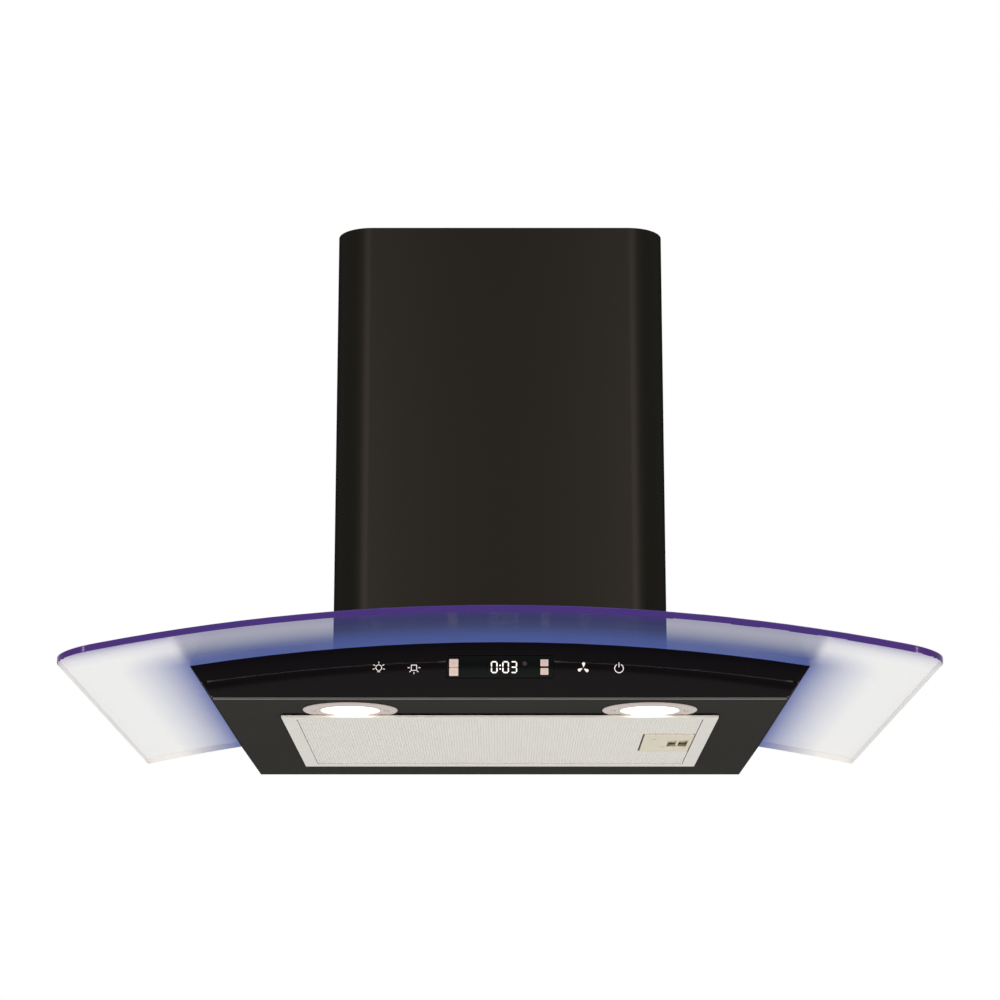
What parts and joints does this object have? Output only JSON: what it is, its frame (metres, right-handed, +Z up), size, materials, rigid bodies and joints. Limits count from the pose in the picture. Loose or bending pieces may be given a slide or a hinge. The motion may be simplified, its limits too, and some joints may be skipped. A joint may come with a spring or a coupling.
{
  "type": "curved glass range hood",
  "caption": "Wall-mounted cooker hood with an arched clear glass canopy, black flared body, touch controls, grease filter, lamps and a telescoping black chimney over a ducted fan.",
  "frame": {"origin": "middle of the wall plate, on its back face against the wall, 300 mm above the underside of the canopy", "axes": "+Z up, +Y into the wall, -Y towards the cook, +X to the right seen from the front"},
  "size_m": [0.6, 0.506, 0.403],
  "materials": {
    "clear_glass": "clear toughened glass, polished edge",
    "gasket_rubber": "matt black rubber",
    "canopy_black": "satin black powder coat",
    "gloss_black": "high gloss black",
    "display_glass": "gloss smoked window",
    "trim_steel": "fine brushed strip",
    "black_plastic": "moulded",
    "circuit_board": "solder resist",
    "edge_light": "translucent light guide lit blue",
    "filter_aluminium": "pressed sheet, satin",
    "filter_mesh": "pleated fleece",
    "latch_plastic": "moulded, beige grey",
    "spring_steel": "bright plated",
    "galvanised_steel": "spangled zinc",
    "grey_plastic": "moulded",
    "impeller_plastic": "moulded",
    "motor_steel": "pressed motor shell",
    "white_plastic": "moulded",
    "chimney_paint": "satin black powder coat",
    "lamp_bezel": "satin nickel",
    "lamp_lens": "frosted, lit warm white",
    "heat_sink": "die cast"
  },
  "bodies": {
    "hood": {"glass_canopy": "clear_glass", "glass_gasket": "gasket_rubber", "canopy_shell": "canopy_black", "fascia_band": "gloss_black", "control_panel": "gloss_black", "display_window": "display_glass", "fascia_trim": "trim_steel", "display_module": "black_plastic", "control_board": "circuit_board", "edge_light_left": "edge_light", "edge_light_right": "edge_light", "edge_light_front": "edge_light", "motor_chassis": "galvanised_steel", "wall_plate": "galvanised_steel", "scroll_cheek_front": "grey_plastic", "scroll_wrap": "grey_plastic", "scroll_cheek_rear": "grey_plastic", "fan_motor": "motor_steel", "motor_bracket": "galvanised_steel", "outlet_collar": "black_plastic", "damper_pin": "spring_steel", "terminal_box": "white_plastic", "cable_gland": "black_plastic", "capacitor": "white_plastic", "chimney_lower": "chimney_paint", "touch_sensor_1": "gasket_rubber", "glass_screw_1": "spring_steel", "touch_sensor_2": "gasket_rubber", "glass_screw_2": "spring_steel", "touch_sensor_3": "gasket_rubber", "glass_screw_3": "spring_steel", "touch_sensor_4": "gasket_rubber", "glass_screw_4": "spring_steel", "lamp_bezel_left": "lamp_bezel", "lamp_lens_left": "lamp_lens", "lamp_housing_left": "heat_sink", "lamp_bezel_right": "lamp_bezel", "lamp_lens_right": "lamp_lens", "lamp_housing_right": "heat_sink"},
    "upper_chimney": {"chimney_upper": "chimney_paint", "chimney_bracket": "galvanised_steel", "bracket_screw_left": "spring_steel", "bracket_screw_right": "spring_steel"},
    "filter": {"filter_frame": "filter_aluminium", "filter_mesh": "filter_mesh", "latch_plate": "latch_plastic", "latch_spring": "spring_steel"},
    "latch": {"filter_latch": "latch_plastic"},
    "fan": {"impeller_front": "impeller_plastic", "impeller_disc": "impeller_plastic", "impeller_rear": "impeller_plastic"},
    "flap_left": {"damper_flap_left": "grey_plastic"},
    "flap_right": {"damper_flap_right": "grey_plastic"}
  },
  "joints": [
    {"name": "chimney_extension", "type": "slide", "parent": "hood", "child": "upper_chimney", "axis": [0, 0, 1], "range_m": [0, 0.27]},
    {"name": "filter_drop", "type": "hinge", "parent": "hood", "child": "filter", "pos_m": [-0.16, 0, -0.3022], "axis": [0, 1, 0], "range_deg": [0, 60]},
    {"name": "filter_latch_slide", "type": "slide", "parent": "filter", "child": "latch", "axis": [-1, 0, 0], "range_m": [0, 0.006], "stiffness_N_per_m": 250, "springref_m": -0.004, "deforming": ["latch_spring"]},
    {"name": "fan_spin", "type": "hinge", "parent": "hood", "child": "fan", "pos_m": [-0.02168, -0.115, -0.135], "axis": [0, 1, 0], "continuous": true},
    {"name": "damper_left_lift", "type": "hinge", "parent": "hood", "child": "flap_left", "pos_m": [0.02032, -0.115, 0.022], "axis": [0, 1, 0], "range_deg": [0, 78]},
    {"name": "damper_right_lift", "type": "hinge", "parent": "hood", "child": "flap_right", "pos_m": [0.02032, -0.115, 0.022], "axis": [0, -1, 0], "range_deg": [0, 78]}
  ]
}
